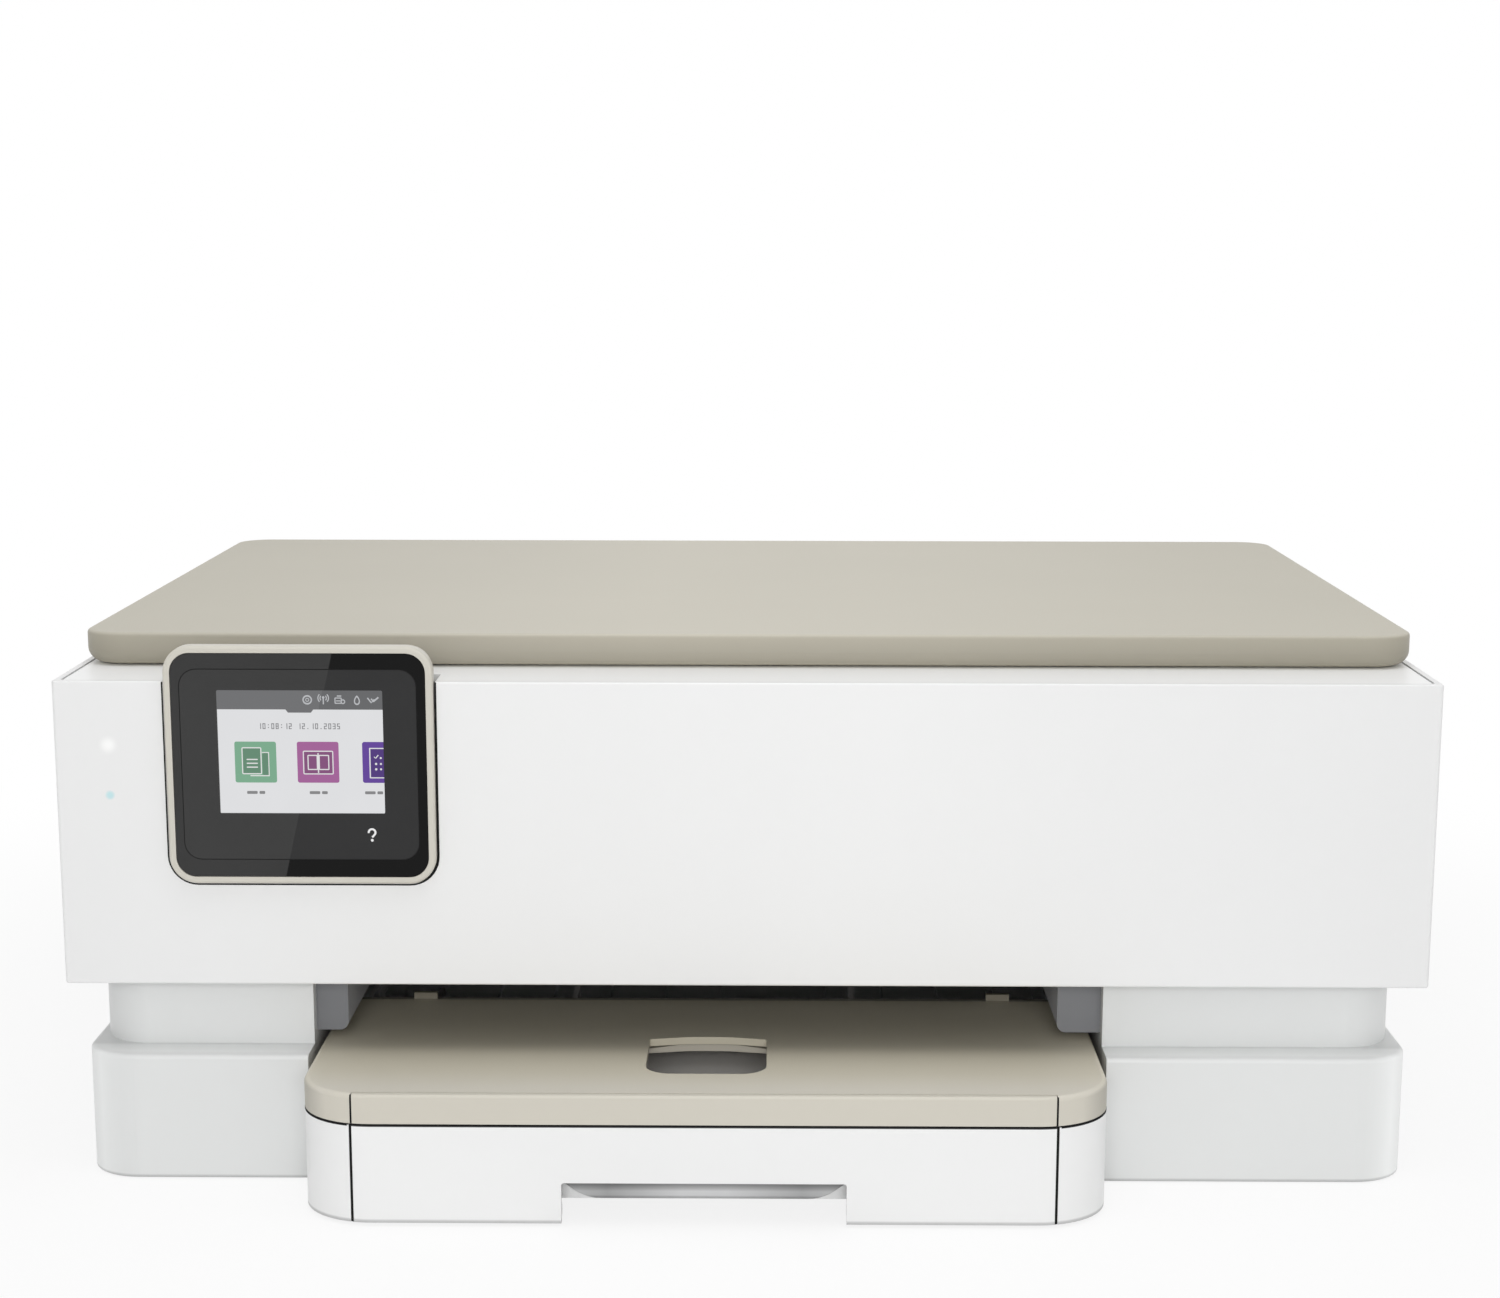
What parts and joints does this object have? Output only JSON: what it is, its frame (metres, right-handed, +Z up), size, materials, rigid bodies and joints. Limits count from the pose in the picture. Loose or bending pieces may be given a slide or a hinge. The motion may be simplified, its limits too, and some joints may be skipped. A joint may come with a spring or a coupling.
{
  "type": "inkjet printer",
  "caption": "Desktop all-in-one inkjet printer with a flatbed scanner under a hinged lid, a tilting control panel and a front paper tray.",
  "frame": {"origin": "on the ground below the middle of the whole printer, tray front included", "axes": "+X to the right seen from the front, the front faces -Y, +Z up"},
  "size_m": [0.46, 0.383, 0.1847],
  "materials": {
    "white_shell": "satin white moulded plastic",
    "white_base": "satin white moulded plastic",
    "beige_lid": "fine-grained warm beige plastic",
    "beige_trim": "satin warm beige plastic",
    "grey_plastic": "mid grey plastic",
    "tray_grey": "light grey plastic",
    "black_plastic": "black engine plastic",
    "black_glass": "glossy black panel",
    "screen": "lit colour display",
    "scan_glass": "clear float glass",
    "rubber": "black rubber",
    "grey_rubber": "grey rubber",
    "steel": "ground steel",
    "zinc_steel": "plated sheet steel",
    "gear_plastic": "natural acetal",
    "board": "green laminate board",
    "ink_black": "black cartridge case",
    "ink_colour": "dark blue-grey cartridge case",
    "pad_white": "white reflector pad",
    "light_pipe": "clear light pipe"
  },
  "bodies": {
    "base": {"base_shell": "white_base", "bottom_pan": "grey_plastic", "rubber_feet": "rubber", "base_screws": "steel", "chassis_frame": "black_plastic", "carriage_rail": "zinc_steel", "platen": "black_plastic", "drive_belt": "rubber", "carriage_motor": "steel", "feed_motor": "steel", "service_station": "black_plastic", "power_supply": "black_plastic", "power_inlet": "black_plastic", "main_board": "board", "data_socket": "zinc_steel", "output_guide_left": "grey_plastic", "output_guide_right": "grey_plastic"},
    "cap_sled": {"cap_sled": "grey_plastic"},
    "power_button": {"power_button": "tray_grey"},
    "rear_door": {"rear_door": "white_base"},
    "print_carriage": {"print_carriage": "black_plastic", "cartridge_colour": "ink_colour", "cartridge_black": "ink_black"},
    "latch_colour": {"latch_colour": "grey_plastic"},
    "latch_black": {"latch_black": "grey_plastic"},
    "motor_pulley": {"motor_pulley": "gear_plastic"},
    "idler_pulley": {"idler_pulley": "gear_plastic"},
    "feed_roller": {"feed_shaft": "steel", "feed_tyres": "grey_rubber", "feed_gear": "gear_plastic"},
    "exit_roller": {"exit_shaft": "steel", "exit_tyres": "grey_rubber", "exit_gear": "gear_plastic"},
    "idler_gear": {"idler_gear": "gear_plastic"},
    "motor_pinion": {"motor_pinion": "gear_plastic"},
    "pick_arm": {"pick_arm": "black_plastic"},
    "pick_roller": {"pick_roller": "grey_rubber"},
    "scanner_unit": {"upper_shell": "white_shell", "scanner_top": "white_shell", "scanner_glass": "scan_glass", "scanner_tub": "black_plastic", "scan_rod": "steel", "panel_cradle": "grey_plastic", "status_lights": "light_pipe", "lid_hinges": "grey_plastic"},
    "scan_carriage": {"scan_carriage": "black_plastic"},
    "lid": {"lid_shell": "beige_lid", "lid_pad": "pad_white"},
    "control_panel": {"control_bezel": "beige_trim", "control_glass": "black_glass", "control_screen": "screen"},
    "paper_tray": {"paper_tray": "white_base", "output_cover": "beige_trim", "tray_pull": "tray_grey"},
    "tray_flap": {"tray_flap": "white_base"},
    "output_extender": {"output_extender": "beige_trim"},
    "photo_tray": {"photo_tray": "tray_grey"},
    "width_guide_left": {"width_guide_left": "tray_grey"},
    "width_guide_right": {"width_guide_right": "tray_grey"},
    "guide_pinion": {"guide_pinion": "gear_plastic"}
  },
  "joints": [
    {"name": "scanner_unit_lift", "type": "hinge", "parent": "base", "child": "scanner_unit", "pos_m": [0, 0.1775, 0.088], "axis": [-1, 0, 0], "range_deg": [0, 33]},
    {"name": "lid_hinge", "type": "hinge", "parent": "scanner_unit", "child": "lid", "pos_m": [0, 0.1815, 0.1785], "axis": [-1, 0, 0], "range_deg": [0, 85]},
    {"name": "control_panel_tilt", "type": "hinge", "parent": "scanner_unit", "child": "control_panel", "pos_m": [-0.1479, -0.138, 0.16], "axis": [-1, 0, 0], "range_deg": [0, 30]},
    {"name": "scan_carriage_slide", "type": "slide", "parent": "scanner_unit", "child": "scan_carriage", "axis": [1, 0, 0], "range_m": [0, 0.35]},
    {"name": "paper_tray_slide", "type": "slide", "parent": "base", "child": "paper_tray", "axis": [0, -1, 0], "range_m": [0, 0.24]},
    {"name": "tray_flap_hinge", "type": "hinge", "parent": "paper_tray", "child": "tray_flap", "pos_m": [-0.0132, -0.1885, 0.0048], "axis": [1, 0, 0], "range_deg": [0, 90]},
    {"name": "output_extender_slide", "type": "slide", "parent": "paper_tray", "child": "output_extender", "axis": [0, -1, 0], "range_m": [0, 0.085]},
    {"name": "photo_tray_slide", "type": "slide", "parent": "paper_tray", "child": "photo_tray", "axis": [0, 1, 0], "range_m": [0, 0.04]},
    {"name": "width_guide_left_slide", "type": "slide", "parent": "paper_tray", "child": "width_guide_left", "axis": [1, 0, 0], "range_m": [0, 0.052]},
    {"name": "width_guide_right_slide", "type": "slide", "parent": "paper_tray", "child": "width_guide_right", "axis": [-1, 0, 0], "range_m": [0, 0.052]},
    {"name": "guide_pinion_spin", "type": "hinge", "parent": "paper_tray", "child": "guide_pinion", "pos_m": [-0.0132, -0.046, 0.00885], "axis": [0, 0, 1], "range_deg": [0, 377]},
    {"name": "print_carriage_slide", "type": "slide", "parent": "base", "child": "print_carriage", "axis": [-1, 0, 0], "range_m": [0, 0.324]},
    {"name": "latch_colour_hinge", "type": "hinge", "parent": "print_carriage", "child": "latch_colour", "pos_m": [0.1391, -0.03595, 0.088], "axis": [1, 0, 0], "range_deg": [0, 20]},
    {"name": "latch_black_hinge", "type": "hinge", "parent": "print_carriage", "child": "latch_black", "pos_m": [0.1849, -0.03595, 0.088], "axis": [1, 0, 0], "range_deg": [0, 20]},
    {"name": "motor_pulley_spin", "type": "hinge", "parent": "base", "child": "motor_pulley", "pos_m": [0.19, 0.0687, 0.104], "axis": [0, 1, 0], "range_deg": [0, 2779]},
    {"name": "idler_pulley_spin", "type": "hinge", "parent": "base", "child": "idler_pulley", "pos_m": [-0.19, 0.0687, 0.104], "axis": [0, 1, 0], "range_deg": [0, 2779]},
    {"name": "feed_roller_spin", "type": "hinge", "parent": "base", "child": "feed_roller", "pos_m": [0, 0.039, 0.0555], "axis": [1, 0, 0], "continuous": true},
    {"name": "exit_roller_spin", "type": "hinge", "parent": "base", "child": "exit_roller", "pos_m": [0, -0.024, 0.0575], "axis": [1, 0, 0], "continuous": true},
    {"name": "idler_gear_spin", "type": "hinge", "parent": "base", "child": "idler_gear", "pos_m": [-0.2205, 0.00494, 0.04384], "axis": [1, 0, 0], "continuous": true},
    {"name": "motor_pinion_spin", "type": "hinge", "parent": "base", "child": "motor_pinion", "pos_m": [-0.2205, 0.0502, 0.0361], "axis": [1, 0, 0], "continuous": true},
    {"name": "pick_arm_hinge", "type": "hinge", "parent": "base", "child": "pick_arm", "pos_m": [-0.0132, 0.026, 0.043], "axis": [-1, 0, 0], "range_deg": [0, 7]},
    {"name": "pick_roller_spin", "type": "hinge", "parent": "pick_arm", "child": "pick_roller", "pos_m": [-0.0132, 0.08616, 0.028], "axis": [1, 0, 0], "continuous": true},
    {"name": "cap_sled_slide", "type": "slide", "parent": "base", "child": "cap_sled", "axis": [0, 0, 1], "range_m": [-0.005, 0]},
    {"name": "rear_door_hinge", "type": "hinge", "parent": "base", "child": "rear_door", "pos_m": [-0.0125, 0.1895, 0.014], "axis": [-1, 0, 0], "range_deg": [0, 70]},
    {"name": "power_button_press", "type": "slide", "parent": "base", "child": "power_button", "axis": [0, -1, 0], "range_m": [0, 0.0012], "stiffness_N_per_m": 500}
  ],
  "couplings": [
    {"joint": "width_guide_right_slide", "follows": "width_guide_left_slide", "ratio": 1},
    {"joint": "guide_pinion_spin", "follows": "width_guide_left_slide", "rad_per_m": 125},
    {"joint": "motor_pulley_spin", "follows": "print_carriage_slide", "rad_per_m": 149.25},
    {"joint": "idler_pulley_spin", "follows": "print_carriage_slide", "rad_per_m": 149.25},
    {"joint": "exit_roller_spin", "follows": "feed_roller_spin", "ratio": 1.3333},
    {"joint": "idler_gear_spin", "follows": "feed_roller_spin", "ratio": -0.8},
    {"joint": "motor_pinion_spin", "follows": "feed_roller_spin", "ratio": -2.5}
  ]
}
